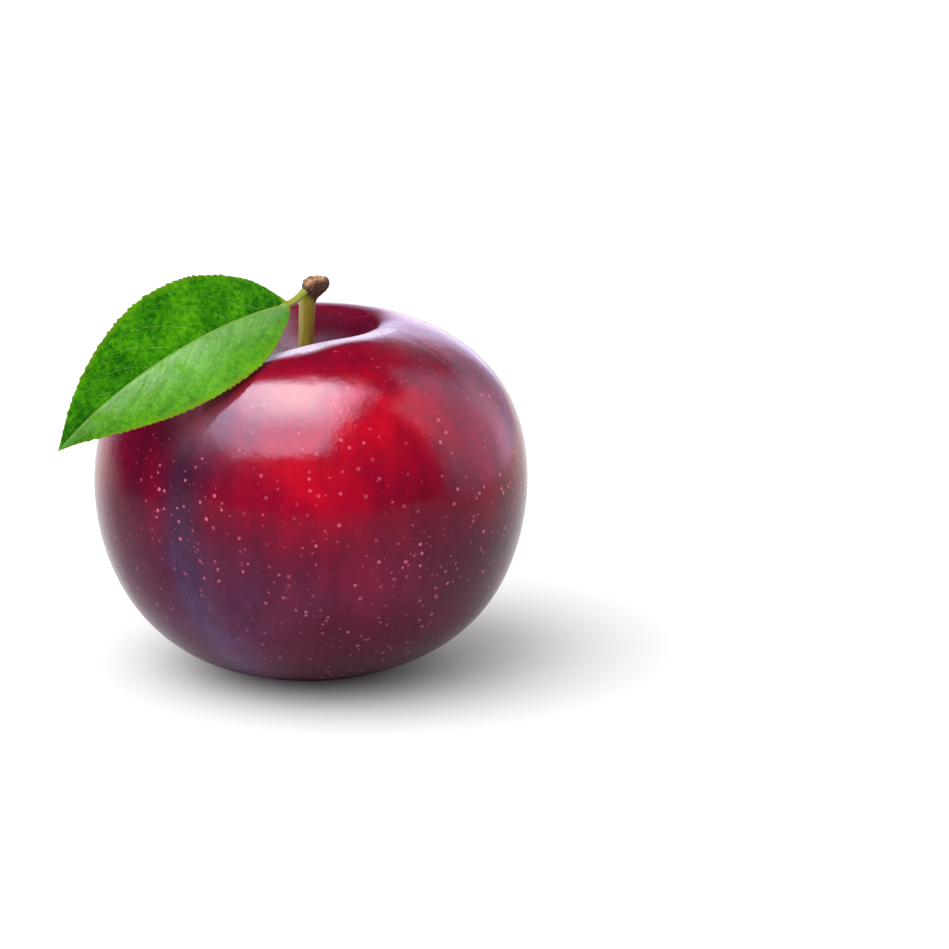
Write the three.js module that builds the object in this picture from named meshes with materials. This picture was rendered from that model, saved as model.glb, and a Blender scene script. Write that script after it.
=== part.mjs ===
// A ripe red-purple plum with its stalk, the woody stub that the stalk hung from, and one leaf.
// Millimetres, +Z up. The plum rests on the origin, and its suture faces -Y.

import * as THREE from 'three';

const TOUCH_GAP = 0.3; // left between pieces that touch

// Fruit: a solid of revolution with a squarer belly, a little narrower front to back.
const CHEEK_RADIUS = 33.6;
const DEPTH_RATIO = 0.97; // front-to-back over side-to-side
const CHEEK_LEAN = 1.1; // the +X cheek is the fuller one
const HIGH_BELLY = 0.037; // moves the widest ring up
const SQUARE_BELLY = 0.029; // flattens the sides
const BELLY_Z = 26.9;
const HALF_HEIGHT = 28.5;
const CROWN_LIFT = 0.54;
const POLE_FLATTEN = 0.38;

// Cavity that the stalk stands in.
const CAVITY_DEPTH = 9.9;
const CAVITY_RADIUS = 7.7;
const CAVITY_X = 1.0;

// Suture: a shallow furrow down the -Y side that dips the cavity's rim where it crosses it.
const FURROW_DEPTH = 0.5;
const FURROW_HALF_WIDTH = 3.6;
const RIM_DIP = 4.9;
const RIM_DIP_HALF_WIDTH = 8;
const RIM_DIP_RADIUS = 10; // distance from the axis where the dip is deepest
const FRUIT_CENTRE_Z = 28; // the furrow is pressed in towards this point

const FRUIT_RINGS = 42;
const FRUIT_SECTORS = 72;

// Stalk: from the cavity floor to the woody stub.
const STALK_BOTTOM = new THREE.Vector2(-0.05, -0.03);
const STALK_TOP = new THREE.Vector2(0.45, 0.28);
const STALK_TOP_Z = 56;
const STALK_RADIUS = 1.05;
const STALK_TOP_FLARE = 0.18;
const STALK_FOOT_FLARE = 0.3;
const STALK_SIDES = 16;
const STALK_RINGS = 12;

// Woody stub: widens and leans to +X above the stalk, up to a rough cut top.
const STUB_TOP_Z = 59.5;
const STUB_LEAN = new THREE.Vector2(1.03, 0.65);
const STUB_FOOT_RADIUS = 1.25;
const STUB_RADIUS = 1.95;
const STUB_LUMP = 0.09; // share of the radius
const STUB_CUT_TILT = 0.18;
const STUB_CUT_BEARING = 1.2; // radians from +X
const STUB_CHIP_DEPTH = 0.9; // broken out of the cut's rim over the petiole
const STUB_CHIP_BEARING = 4.38;
const STUB_CHIP_HALF_WIDTH = 0.6;
const STUB_SIDES = 20;
const STUB_RINGS = 8;

// Leaf midrib: it leaves the stalk's top towards -Y, then swings towards -X as it arches down.
// Each angle is a quadratic in the share of the length, in degrees.
const LEAF_LENGTH = 43.2;
const BLADE_BASE = new THREE.Vector3(2.1, -7.2, 57);
const HEADING = { start: 261.5, rate: -24.8, bend: -18.3 };
const CLIMB = { start: -0.5, rate: -43.1, bend: -6.6 };
const ROLL = { start: -37.7, rate: -5.7, bend: -56.7 };

// Blade: ovate with a drawn-out tip, folded up along the midrib, its halves curling back down.
const BLADE_HALF_WIDTH = 9.15;
const WIDEST_AT = 0.412;
const BASE_ROUNDNESS = 0.79;
const FOLD = 12.2; // degrees each half rises from the midrib
const LEFT_CURL = -4.8; // degrees the left half turns by its margin, seen towards the tip
const RIGHT_CURL = -10.3;
const BASE_CURL = 18.9; // added to the right half by the base
const BASE_CURL_REACH = 0.25;
const BLADE_THICKNESS = 0.62;
const TEETH = 36;
const TOOTH_DEPTH = 0.3;
const TOOTH_PEAK = 0.68; // a tooth points forward: share of its pitch
const VEIN_PAIRS = 8.5;
const VEIN_SWEEP = 0.33; // how far a side vein runs forward by the margin
const QUILTING = 0.14; // rise of the blade between side veins
const MIDRIB_DEPTH = 0.5;
const MIDRIB_HALF_WIDTH = 0.55;
const ACROSS = [0, 0.07, 0.16, 0.32, 0.52, 0.72, 0.88, 1]; // finer by the midrib

// Petiole: the leaf's own stalk.
const PETIOLE_HALF_WIDTH = 0.52;
const PETIOLE_START = new THREE.Vector3(0.95, -1.6, 57.6);
const PETIOLE_START_DIRECTION = new THREE.Vector3(0.28, -0.95, -0.08);
const PETIOLE_RINGS = 9;

const FULL_TURN = Math.PI * 2;

const degrees = THREE.MathUtils.degToRad;
const bell = (distance, width) => Math.exp(-((distance / width) ** 2));
const softStep = (x) => 1 / (1 + Math.exp(-x));

// Joins rings of points into one closed skin, with a fan at each end. The rings run anticlockwise
// seen from outside the first one. otherSplit says which columns are cut on the other diagonal.
function skinOverRings(rings, startCentre, endCentre, otherSplit = () => false) {
  const sides = rings[0].length;
  const lastRing = rings.length - 1;
  const points = [startCentre, ...rings.flat(), endCentre];
  const at = (ring, i) => 1 + ring * sides + (i % sides);
  const end = points.length - 1;
  const faces = [];
  for (let i = 0; i < sides; i += 1) {
    faces.push(0, at(0, i), at(0, i + 1));
    faces.push(end, at(lastRing, i + 1), at(lastRing, i));
    for (let ring = 0; ring < lastRing; ring += 1) {
      const [a, b] = [at(ring, i), at(ring, i + 1)];
      const [d, c] = [at(ring + 1, i), at(ring + 1, i + 1)];
      if (otherSplit(i)) {
        faces.push(a, d, b, b, d, c);
      } else {
        faces.push(a, d, c, a, c, b);
      }
    }
  }
  const geometry = new THREE.BufferGeometry().setFromPoints(points);
  geometry.setIndex(faces);
  geometry.computeVertexNormals();
  return geometry;
}

// A point of the fruit's skin: theta runs down from the stalk end, phi around from the suture.
function fruitPoint(theta, phi) {
  const radius = CHEEK_RADIUS
    * (Math.sin(theta) + HIGH_BELLY * Math.sin(2 * theta) + SQUARE_BELLY * Math.sin(3 * theta));
  const point = new THREE.Vector3(
    radius * Math.sin(phi) + CHEEK_LEAN * (radius / CHEEK_RADIUS) ** 2,
    -radius * Math.cos(phi) * DEPTH_RATIO,
    BELLY_Z + HALF_HEIGHT * Math.cos(theta) + CROWN_LIFT * Math.cos(2 * theta)
      - POLE_FLATTEN * Math.cos(3 * theta),
  );
  const upperPart = softStep((Math.cos(theta) - 0.3) / 0.08);
  const suturePart = softStep(-point.y / 2.5);
  const heightShare = theta / Math.PI;
  const depth = RIM_DIP * bell(radius - RIM_DIP_RADIUS, 9) * upperPart
    + FURROW_DEPTH * bell(heightShare - 0.45, 0.3);
  const halfWidth = FURROW_HALF_WIDTH
    + (RIM_DIP_HALF_WIDTH - FURROW_HALF_WIDTH) * bell(heightShare, 0.3);
  const inward = new THREE.Vector3(0, 0, FRUIT_CENTRE_Z).sub(point).normalize();
  const cavity = CAVITY_DEPTH * upperPart
    * bell(Math.hypot(point.x - CAVITY_X, point.y), CAVITY_RADIUS);
  point.addScaledVector(inward, depth * bell(point.x, halfWidth) * suturePart);
  point.z -= cavity;
  return point;
}

// The ring where the skin meets the surface that the plum rests on.
function restingTheta() {
  let [above, below] = [Math.PI / 2, Math.PI];
  for (let i = 0; i < 40; i += 1) {
    const middle = (above + below) / 2;
    if (fruitPoint(middle, Math.PI).z > 0) {
      above = middle;
    } else {
      below = middle;
    }
  }
  return above;
}

function fruitGeometry() {
  const lowest = restingTheta();
  const rings = [];
  for (let ring = 1; ring <= FRUIT_RINGS; ring += 1) {
    const theta = lowest * (ring / FRUIT_RINGS) ** 1.25;
    const points = [];
    for (let i = 0; i < FRUIT_SECTORS; i += 1) {
      const turn = FULL_TURN * i / FRUIT_SECTORS;
      points.push(fruitPoint(theta, turn - 0.55 * Math.sin(turn))); // closer together by the suture
    }
    rings.push(points);
  }
  const foot = rings[FRUIT_RINGS - 1];
  foot.forEach((point) => point.setZ(0));
  const footCentre = foot.reduce((sum, point) => sum.add(point), new THREE.Vector3());
  return skinOverRings(rings, fruitPoint(0, 0), footCentre.divideScalar(foot.length));
}

function ringAround(centre, sides, radiusAt, riseAt = () => 0) {
  const points = [];
  for (let i = 0; i < sides; i += 1) {
    const turn = FULL_TURN * i / sides;
    const radius = radiusAt(turn);
    points.push(new THREE.Vector3(
      centre.x + radius * Math.cos(turn),
      centre.y + radius * Math.sin(turn),
      centre.z + riseAt(turn, radius),
    ));
  }
  return points;
}

// The highest skin of the cavity's floor within a radius of a place.
function cavityFloorZ(place, radius) {
  let highest = 0;
  for (let theta = 0; theta < 0.15; theta += 0.005) {
    for (let phi = 0; phi < FULL_TURN; phi += 0.1) {
      const point = fruitPoint(theta, phi);
      if (Math.hypot(point.x - place.x, point.y - place.y) < radius) {
        highest = Math.max(highest, point.z);
      }
    }
  }
  return highest;
}

function stalkGeometry() {
  const footRadius = STALK_RADIUS + STALK_FOOT_FLARE;
  const bottomZ = cavityFloorZ(STALK_BOTTOM, footRadius) + TOUCH_GAP;
  const rings = [];
  for (let ring = 0; ring <= STALK_RINGS; ring += 1) {
    const down = ring / STALK_RINGS;
    const place = STALK_TOP.clone().lerp(STALK_BOTTOM, down);
    const centre = new THREE.Vector3(place.x, place.y, STALK_TOP_Z + (bottomZ - STALK_TOP_Z) * down);
    const radius = STALK_RADIUS + STALK_TOP_FLARE * bell(down, 0.5)
      + STALK_FOOT_FLARE * bell(1 - down, 0.1);
    rings.push(ringAround(centre, STALK_SIDES, (turn) => radius * (1 + 0.03 * Math.cos(3 * turn))));
  }
  const top = new THREE.Vector3(STALK_TOP.x, STALK_TOP.y, STALK_TOP_Z);
  const foot = new THREE.Vector3(STALK_BOTTOM.x, STALK_BOTTOM.y, bottomZ);
  return skinOverRings(rings, top, foot);
}

function woodyTipGeometry() {
  const footZ = STALK_TOP_Z + TOUCH_GAP;
  const rings = [];
  for (let ring = 0; ring <= STUB_RINGS; ring += 1) {
    const up = 1 - ring / STUB_RINGS;
    const widening = THREE.MathUtils.smoothstep(up, 0, 0.75);
    const rimRounding = 1 - 0.14 * bell(1 - up, 0.12);
    const centre = new THREE.Vector3(
      STALK_TOP.x + STUB_LEAN.x * widening,
      STALK_TOP.y + STUB_LEAN.y * widening,
      footZ + (STUB_TOP_Z - footZ) * up,
    );
    const radius = (STUB_FOOT_RADIUS + (STUB_RADIUS - STUB_FOOT_RADIUS) * widening) * rimRounding;
    const lumpy = (turn) => radius
      * (1 + STUB_LUMP * widening * (Math.sin(3 * turn + 0.6) + 0.5 * Math.sin(5 * turn + 2)));
    const cut = (turn, r) => up ** 3 * (r / STUB_RADIUS) * (
      STUB_CUT_TILT * Math.cos(turn - STUB_CUT_BEARING)
      - STUB_CHIP_DEPTH * bell(turn - STUB_CHIP_BEARING, STUB_CHIP_HALF_WIDTH));
    rings.push(ringAround(centre, STUB_SIDES, lumpy, cut));
  }
  const top = new THREE.Vector3(
    STALK_TOP.x + STUB_LEAN.x,
    STALK_TOP.y + STUB_LEAN.y,
    STUB_TOP_Z - 0.12,
  );
  return skinOverRings(rings, top, new THREE.Vector3(STALK_TOP.x, STALK_TOP.y, footZ));
}

const along = (angle, t) => degrees(angle.start + angle.rate * t + angle.bend * t * t);

function midribDirection(t) {
  const heading = along(HEADING, t);
  const climb = along(CLIMB, t);
  return new THREE.Vector3(
    Math.cos(climb) * Math.cos(heading),
    Math.cos(climb) * Math.sin(heading),
    Math.sin(climb),
  );
}

function midribPoint(t) {
  const steps = 60;
  const point = BLADE_BASE.clone();
  for (let i = 0; i < steps; i += 1) {
    point.addScaledVector(midribDirection(t * (i + 0.5) / steps), LEAF_LENGTH * t / steps);
  }
  return point;
}

// Half the blade's width at share t of its length, without the teeth.
function bladeHalfWidth(t) {
  const tipTaper = BASE_ROUNDNESS * (1 - WIDEST_AT) / WIDEST_AT;
  return BLADE_HALF_WIDTH * (t / WIDEST_AT) ** BASE_ROUNDNESS
    * ((1 - t) / (1 - WIDEST_AT)) ** tipTaper;
}

// One closed ring of the leaf: the upper face from right to left, then the lower one back.
function leafRing(centre, direction, roll, halfWidth, t) {
  const level = new THREE.Vector3(-direction.y, direction.x, 0).normalize();
  const left = level.clone().applyAxisAngle(direction, roll);
  const up = direction.clone().cross(left);
  const shares = [...ACROSS.slice(1).reverse().map((share) => -share), ...ACROSS];
  const midrib = MIDRIB_DEPTH * (1 - 0.75 * Math.max(t, 0));
  const upper = [];
  const lower = [];
  shares.forEach((share) => {
    const out = Math.abs(share);
    const curl = share < 0 ? RIGHT_CURL + BASE_CURL * bell(t, BASE_CURL_REACH) : LEFT_CURL;
    const halfTurn = degrees(curl * out) / 2;
    const rise = degrees(FOLD) + halfTurn;
    const reach = halfWidth * out * (1 - halfTurn ** 2 / 6);
    const side = Math.sign(share) * reach * Math.cos(rise);
    const veinPhase = Math.PI * VEIN_PAIRS * (t - VEIN_SWEEP * out ** 1.2);
    const quilt = QUILTING * (Math.abs(Math.sin(veinPhase)) - 0.5)
      * Math.sin(Math.PI * out) * Math.min(1, halfWidth / 5) * (t > 0 ? 1 : 0);
    const middle = centre.clone()
      .addScaledVector(left, side)
      .addScaledVector(up, reach * Math.sin(rise) + quilt);
    const ridge = midrib * bell(reach, MIDRIB_HALF_WIDTH);
    upper.push(middle.clone().addScaledVector(up, BLADE_THICKNESS / 2));
    lower.push(middle.clone().addScaledVector(up, -BLADE_THICKNESS / 2 - ridge));
  });
  return [...upper, ...lower.reverse()];
}

function petioleRings() {
  const bladeDirection = midribDirection(0);
  const curve = new THREE.CubicBezierCurve3(
    PETIOLE_START,
    PETIOLE_START.clone().addScaledVector(PETIOLE_START_DIRECTION, 2.6),
    BLADE_BASE.clone().addScaledVector(bladeDirection, -2.6),
    BLADE_BASE,
  );
  const rings = [];
  for (let ring = 0; ring < PETIOLE_RINGS; ring += 1) {
    const share = ring / PETIOLE_RINGS;
    const halfWidth = PETIOLE_HALF_WIDTH * (1 + 0.35 * bell(share, 0.2));
    const roll = degrees(ROLL.start) * share;
    rings.push(leafRing(curve.getPoint(share), curve.getTangent(share), roll, halfWidth, 0));
  }
  return rings;
}

function bladeRings() {
  const rings = [];
  const tooth = [0, TOOTH_PEAK];
  for (let ring = 0; ring < 2 * TEETH; ring += 1) {
    const t = 0.002 + 0.99 * (Math.floor(ring / 2) + tooth[ring % 2]) / TEETH;
    const width = bladeHalfWidth(t);
    const point = ring % 2 ? TOOTH_DEPTH * Math.min(1, width / 4) : 0;
    const petioleWidth = PETIOLE_HALF_WIDTH * Math.max(0, 1 - 4 * t);
    const halfWidth = Math.hypot(width, petioleWidth) + point;
    rings.push(leafRing(midribPoint(t), midribDirection(t), along(ROLL, t), halfWidth, t));
  }
  return rings;
}

function leafGeometry() {
  const rings = [...petioleRings(), ...bladeRings()];
  const columns = rings[0].length / 2;
  return skinOverRings(rings, PETIOLE_START, midribPoint(1), (column) => column >= columns);
}

const fruitSkin = new THREE.MeshStandardMaterial({ color: 0x6a1a32, roughness: 0.3, metalness: 0 });
const stalkSkin = new THREE.MeshStandardMaterial({ color: 0x8a7a2c, roughness: 0.6, metalness: 0 });
const stubWood = new THREE.MeshStandardMaterial({ color: 0x76533a, roughness: 0.85, metalness: 0 });
const leafGreen = new THREE.MeshStandardMaterial({ color: 0x4a9a2c, roughness: 0.45, metalness: 0 });

function namedMesh(name, geometry, material) {
  const mesh = new THREE.Mesh(geometry, material);
  mesh.name = name;
  return mesh;
}

const plum = new THREE.Group();
plum.add(namedMesh('fruit', fruitGeometry(), fruitSkin));
plum.add(namedMesh('stalk', stalkGeometry(), stalkSkin));
plum.add(namedMesh('woody_tip', woodyTipGeometry(), stubWood));
plum.add(namedMesh('leaf', leafGeometry(), leafGreen));

export default plum;
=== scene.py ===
# A ripe red-purple plum with its stalk, woody stub and one leaf, dressed around the CAD frame.
# Lengths are in millimetres until build_mesh() turns them into metres.

import math

import bpy
import numpy as np
from mathutils import Matrix, Vector


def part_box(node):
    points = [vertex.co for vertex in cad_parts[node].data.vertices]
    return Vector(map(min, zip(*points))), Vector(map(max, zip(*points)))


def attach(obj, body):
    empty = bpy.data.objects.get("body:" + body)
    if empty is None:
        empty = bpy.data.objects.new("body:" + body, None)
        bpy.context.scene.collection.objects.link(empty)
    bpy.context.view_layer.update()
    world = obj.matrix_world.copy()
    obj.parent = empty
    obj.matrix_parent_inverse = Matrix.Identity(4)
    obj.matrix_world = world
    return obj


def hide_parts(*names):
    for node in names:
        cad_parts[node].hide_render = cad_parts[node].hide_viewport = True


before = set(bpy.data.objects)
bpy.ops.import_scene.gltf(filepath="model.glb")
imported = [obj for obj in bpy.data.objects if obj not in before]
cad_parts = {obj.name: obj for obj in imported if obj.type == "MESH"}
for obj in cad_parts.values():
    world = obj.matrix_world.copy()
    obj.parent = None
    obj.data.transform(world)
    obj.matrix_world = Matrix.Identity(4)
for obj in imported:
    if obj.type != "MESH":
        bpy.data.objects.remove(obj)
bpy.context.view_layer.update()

MM = 0.001

# Fruit, as in the CAD solids; its furrow is a little shallower, for the finer crease in it.
CHEEK_RADIUS = 33.6
DEPTH_RATIO = 0.97
CHEEK_LEAN = 1.1
HIGH_BELLY = 0.037
SQUARE_BELLY = 0.029
BELLY_Z = 26.9
HALF_HEIGHT = 28.5
CROWN_LIFT = 0.54
POLE_FLATTEN = 0.38
CAVITY_DEPTH = 9.9
CAVITY_RADIUS = 7.7
CAVITY_X = 1.0
FURROW_DEPTH = 0.38
FURROW_HALF_WIDTH = 3.6
RIM_DIP = 4.9
RIM_DIP_HALF_WIDTH = 8.0
RIM_DIP_RADIUS = 10.0
FRUIT_CENTRE_Z = 28.0
FRUIT_RINGS = 250
FRUIT_SECTORS = 320

# Fine relief that only this skin has.
CREASE_DEPTH = 0.02         # a finer fold at the bottom of the furrow
CREASE_HALF_WIDTH = 0.9
WAVE_HEIGHT = 0.10          # slow unevenness of the flesh
CAVITY_PLEATS = 11
PLEAT_DEPTH = 0.10

# The skin's red light, bloom and shine. Bearings and widths in degrees from the suture towards
# +X, heights and depths in millimetres. A patch is bearing, width, height, depth and strength.
DEEP_RED = 0.060            # share of red light in the darkest skin
UPPER_RED = 0.10            # added to the upper half
SUNNY_RED = 0.225           # added where the sun reached it
SUNNY_BEARING = 37.0
SUNNY_WIDTH = 44.0          # towards +X
SUNNY_HEIGHT = 38.5
RED_PATCHES = (
    (60.0, 17.0, 45.5, 4.8, 0.15),    # shoulder
    (36.0, 5.0, 36.0, 5.0, 0.08),     # heart of the sunny side
    (45.0, 24.0, 21.5, 5.5, 0.065))   # low on the right
BACK_RED = 0.16
# Painted shade of the leaf on the skin left of the suture.
PAINTED_LEAF_SHADE = 0.055        # taken off left of the suture
# The suture's dark band is partly its own colour and partly painted shade in its furrow.
SUTURE_DARKENING = 0.78
# Painted shade near the floor, all round and on the lower right.
PAINTED_BASE_SHADE = 0.35
# Painted shade on the far wall and rim of the stem cavity.
PAINTED_CAVITY_SHADE = 0.85
LIP_RADIUS = 17.6           # outer edge of the painted highlight on the cavity's lip
# Strength of the lip's painted reflection, laid in as thick wax.
LIP_PAINTED_HIGHLIGHT = 0.95
# Pale patches that are painted light: a painted highlight beside the leaf and a painted reflection
# on the right shoulder.
PAINTED_HIGHLIGHT_PATCHES = (
    (8.0, 12.0, 43.5, 4.0, 0.14),     # painted highlight beside the leaf
    (88.0, 14.0, 52.0, 2.5, 0.10))    # painted reflection on the right shoulder
# The belly's lower shine is partly painted shade, for the shaded floor it reflects.
SHINE_BEARINGS = (-60.0, -42.0, -36.0, -31.0, -26.0, -12.0, 10.0, 40.0, 120.0)
BELLY_SHINE = (1.0, 0.92, 0.66, 0.34, 0.18, 0.18, 0.24, 0.24, 0.60)  # at those bearings
LOW_SHINE = 0.25            # below the belly, all round

# Stalk and woody stub.
STALK_BOTTOM = (-0.05, -0.03)
STALK_TOP = (0.45, 0.28)
STALK_RADIUS = 1.05
STALK_TOP_FLARE = 0.18
STALK_FOOT_FLARE = 0.30
STALK_RIBS = 9
STUB_HEIGHT = 3.2
STUB_SINK = 0.35            # the bark runs on over the stalk's top
STUB_LEAN = (1.03, 0.65)
STUB_FOOT_RADIUS = 1.25
STUB_RADIUS = 1.95
STUB_LUMP = 0.09
STUB_CUT_TILT = 0.18
STUB_CUT_BEARING = 1.2      # radians from +X
STUB_CHIP_DEPTH = 0.9       # broken out of the cut's rim over the petiole
STUB_CHIP_BEARING = 4.38
STUB_CHIP_HALF_WIDTH = 0.6

# Leaf: each angle is a quadratic in the share of the length, in degrees.
LEAF_LENGTH = 43.2
BLADE_BASE = (2.1, -7.2, 57.0)
HEADING = (261.5, -24.8, -18.3)
CLIMB = (-0.5, -43.1, -6.6)
ROLL = (-37.7, -5.7, -56.7)
BLADE_HALF_WIDTH = 9.15
WIDEST_AT = 0.412
BASE_ROUNDNESS = 0.79
FOLD = 12.2
LEFT_CURL = -4.8            # seen towards the tip
RIGHT_CURL = -10.3
BASE_CURL = 18.9            # added to the right half by the base
BASE_CURL_REACH = 0.25
BASE_TAPER = 0.13           # taken off the left half's width by the base
BLADE_THICKNESS = 0.34
MARGIN_THICKNESS = 0.16
TEETH = 46
TOOTH_DEPTH = 0.26
TOOTH_PEAK = 0.72
VEIN_PAIRS = 8.5
VEIN_SWEEP = 0.33
VEIN_DEPTH = 0.05
QUILTING = 0.10
MIDRIB_DEPTH = 0.46
MIDRIB_HALF_WIDTH = 0.42
PETIOLE_HALF_WIDTH = 0.52
PETIOLE_START = (0.62, -0.30, 57.75)  # sunk into the stub
PETIOLE_START_DIRECTION = (0.21, -0.97, -0.10)
PETIOLE_REACH = 1.4
LEAF_RINGS = 430
PETIOLE_RINGS = 40
LEAF_COLUMNS = 49           # from margin to margin on each face

# Level directions: towards the fuller cheek, and square to that on the suture's side.
CHEEK_SIDE = (0.85, 0.53, 0.0)
FACE_SIDE = (0.53, -0.85, 0.0)

# Fruit colours, in linear light as all colours here.
SKIN_BY_RED = (             # darkest skin to reddest
    (0.0, (0.020, 0.003, 0.012)),
    (0.10, (0.100, 0.003, 0.018)),
    (0.25, (0.250, 0.0015, 0.018)),
    (0.50, (0.500, 0.002, 0.016)),
    (1.0, (0.950, 0.012, 0.035)))
BELLY_BLOOM = (0.160, 0.130, 0.330)
CROWN_BLOOM_AND_HIGHLIGHT = (0.420, 0.340, 0.460)
THICK_BLOOM_AND_HIGHLIGHT = (0.640, 0.540, 0.660)
LOW_LENTICEL = (0.210, 0.075, 0.130)
HIGH_LENTICEL = (0.600, 0.110, 0.190)
WAX_SHEEN = (0.50, 0.55, 1.0)

# Stalk colours.
STALK_FIBRES = ((0.25, (0.270, 0.215, 0.012)), (0.75, (0.440, 0.390, 0.040)))
STALK_PAINTED_HIGHLIGHT = (0.520, 0.400, 0.160)
STALK_BROWN_AND_SHADE = (0.230, 0.105, 0.016)
STALK_SPECK = (0.460, 0.360, 0.180)

# Woody stub colours.
BARK = ((0.30, (0.022, 0.007, 0.004)), (0.76, (0.165, 0.062, 0.026)))
CUT_WOOD = ((0.38, (0.090, 0.040, 0.018)), (0.50, (0.300, 0.165, 0.075)),
            (0.64, (0.560, 0.350, 0.175)))
YOUNG_BARK = (0.380, 0.370, 0.024)
YOUNG_BARK_PAINTED_SHADE = (0.230, 0.130, 0.018)
YOUNG_BARK_PAINTED_HIGHLIGHT = (0.480, 0.400, 0.150)

# Leaf colours.
LEAF_GREEN = ((0.36, (0.003, 0.085, 0.001)), (0.50, (0.034, 0.230, 0.001)),
              (0.66, (0.110, 0.390, 0.004)))
LEAF_NEAR_HALF = (0.210, 0.400, 0.020)
LEAF_YELLOWED = (0.100, 0.300, 0.002)
LEAF_PAINTED_SHEEN = (0.200, 0.380, 0.120)
LEAF_NET = (0.130, 0.360, 0.040)
VEIN_FAR_HALF = (0.260, 0.500, 0.090)
VEIN_NEAR_HALF = (0.240, 0.420, 0.110)
MIDRIB_BASE = (0.400, 0.460, 0.070)
MIDRIB_TIP = (0.260, 0.450, 0.085)
PETIOLE_GREEN = (0.340, 0.360, 0.045)
LEAF_RIM = (0.200, 0.340, 0.006)
BURNT_TOOTH = (0.300, 0.130, 0.022)
LEAF_UNDERSIDE = (0.220, 0.380, 0.120)

# Camera and studio.
IMAGE_PIXELS = 949
CAMERA_AZIMUTH = 32.0
CAMERA_ELEVATION = 14.3
CAMERA_DISTANCE = 480.0
PIXELS_PER_MM = 6.55        # at the rest spot
REST_SPOT_PIXEL = (308.8, 662.1)
SENSOR_WIDTH = 36.0
FLOOR_TO_FRONT = 340.0      # from the fruit to the sheet's edge on the camera's side
FLOOR_TO_SIDES = 420.0
FLOOR_TO_BACK = 6000.0
FLOOR_ALBEDO = (0.955, 0.970, 0.958)
AMBIENT_RADIANCE = 0.67
KEY_RADIANCE = 2.1
KEY_DIRECTION = (-0.24, -0.61, 0.755)
OVERHEAD_RADIANCE = 14.5
SOFTBOX_RADIANCE = 7.2
SIDE_PANEL_RADIANCE = 1.6
BACKDROP_RADIANCE = 0.9
BACKDROP_GLOW = 1.5         # straight behind the fruit
REFLECTION_TINT = (1.0, 0.95, 1.35)
OVERHEAD_TINT = (1.0, 0.98, 1.05)
WHITE_RADIANCE = 1.2        # past the sheet's edges, as the camera sees it


def bell(distance, width):
    return np.exp(-((distance / width) ** 2))


def soft_step(x):
    return 1.0 / (1.0 + np.exp(-x))


def smooth_ramp(x, low, high):
    share = np.clip((x - low) / (high - low), 0.0, 1.0)
    return share * share * (3.0 - 2.0 * share)


def unit(vectors):
    return vectors / np.linalg.norm(vectors, axis=-1, keepdims=True)


# ---------------------------------------------------------------- meshes

def build_mesh(name, points, faces, fields=None):
    """A smooth-shaded object from millimetre points, with one float attribute per field."""
    mesh = bpy.data.meshes.new(name)
    mesh.from_pydata((points * MM).tolist(), [], faces)
    mesh.update()
    for field, values in (fields or {}).items():
        layer = mesh.attributes.new(field, "FLOAT", "POINT")
        layer.data.foreach_set("value", np.asarray(values, dtype=np.float32))
    mesh.polygons.foreach_set("use_smooth", [True] * len(mesh.polygons))
    piece = bpy.data.objects.new(name, mesh)
    bpy.context.scene.collection.objects.link(piece)
    return piece


def skin_over_rings(rings, start, end):
    """Points and faces of one closed skin over rings of points, with a fan at each end."""
    count, sides = rings.shape[:2]
    points = np.concatenate([[start], rings.reshape(-1, 3), [end]])
    here = np.arange(sides)
    after = (here + 1) % sides
    faces = [(0, 1 + i, 1 + j) for i, j in zip(here, after)]
    for ring in range(count - 1):
        top = 1 + ring * sides
        below = top + sides
        faces += [(top + i, below + i, below + j, top + j) for i, j in zip(here, after)]
    last = 1 + (count - 1) * sides
    faces += [(len(points) - 1, last + j, last + i) for i, j in zip(here, after)]
    return points, faces


def field_over_rings(values, start, end):
    return np.concatenate([[start], values.ravel(), [end]])


# ---------------------------------------------------------------- fruit

def suture_wander(z):
    """How far the suture's hairline strays to +X, low on the fruit."""
    return 1.1 * smooth_ramp(z, 26.0, 6.0) - 0.3


def fruit_points(theta, phi):
    """The fruit's skin: theta runs down from the stalk end, phi around from the suture."""
    radius = CHEEK_RADIUS * (
        np.sin(theta) + HIGH_BELLY * np.sin(2 * theta) + SQUARE_BELLY * np.sin(3 * theta))
    x = radius * np.sin(phi) + CHEEK_LEAN * (radius / CHEEK_RADIUS) ** 2
    y = -radius * np.cos(phi) * DEPTH_RATIO
    z = (BELLY_Z + HALF_HEIGHT * np.cos(theta) + CROWN_LIFT * np.cos(2 * theta)
         - POLE_FLATTEN * np.cos(3 * theta)) + 0 * phi
    upper_part = soft_step((np.cos(theta) - 0.3) / 0.08)
    suture_part = soft_step(-y / 2.5)
    height_share = theta / math.pi
    depth = (RIM_DIP * bell(radius - RIM_DIP_RADIUS, 9.0) * upper_part
             + FURROW_DEPTH * bell(height_share - 0.45, 0.3))
    half_width = FURROW_HALF_WIDTH + (
        RIM_DIP_HALF_WIDTH - FURROW_HALF_WIDTH) * bell(height_share, 0.3)
    cavity = CAVITY_DEPTH * upper_part * bell(np.hypot(x - CAVITY_X, y), CAVITY_RADIUS)
    press = depth * bell(x, half_width) * suture_part
    press += CREASE_DEPTH * bell(x - suture_wander(z), CREASE_HALF_WIDTH) * suture_part
    press += WAVE_HEIGHT * np.sin(theta) * (
        np.sin(3 * phi + 4 * theta + 0.7) + 0.7 * np.sin(5 * phi - 3 * theta + 2.0))
    press += PLEAT_DEPTH * bell(radius - 4.5, 3.0) * upper_part * np.sin(
        CAVITY_PLEATS * phi + 1.5 * np.sin(3 * phi))
    points = np.stack([x, y, z], axis=-1)
    inward = unit(np.array([0.0, 0.0, FRUIT_CENTRE_Z]) - points)
    points = points + inward * press[..., None]
    points[..., 2] -= cavity
    return points


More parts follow.
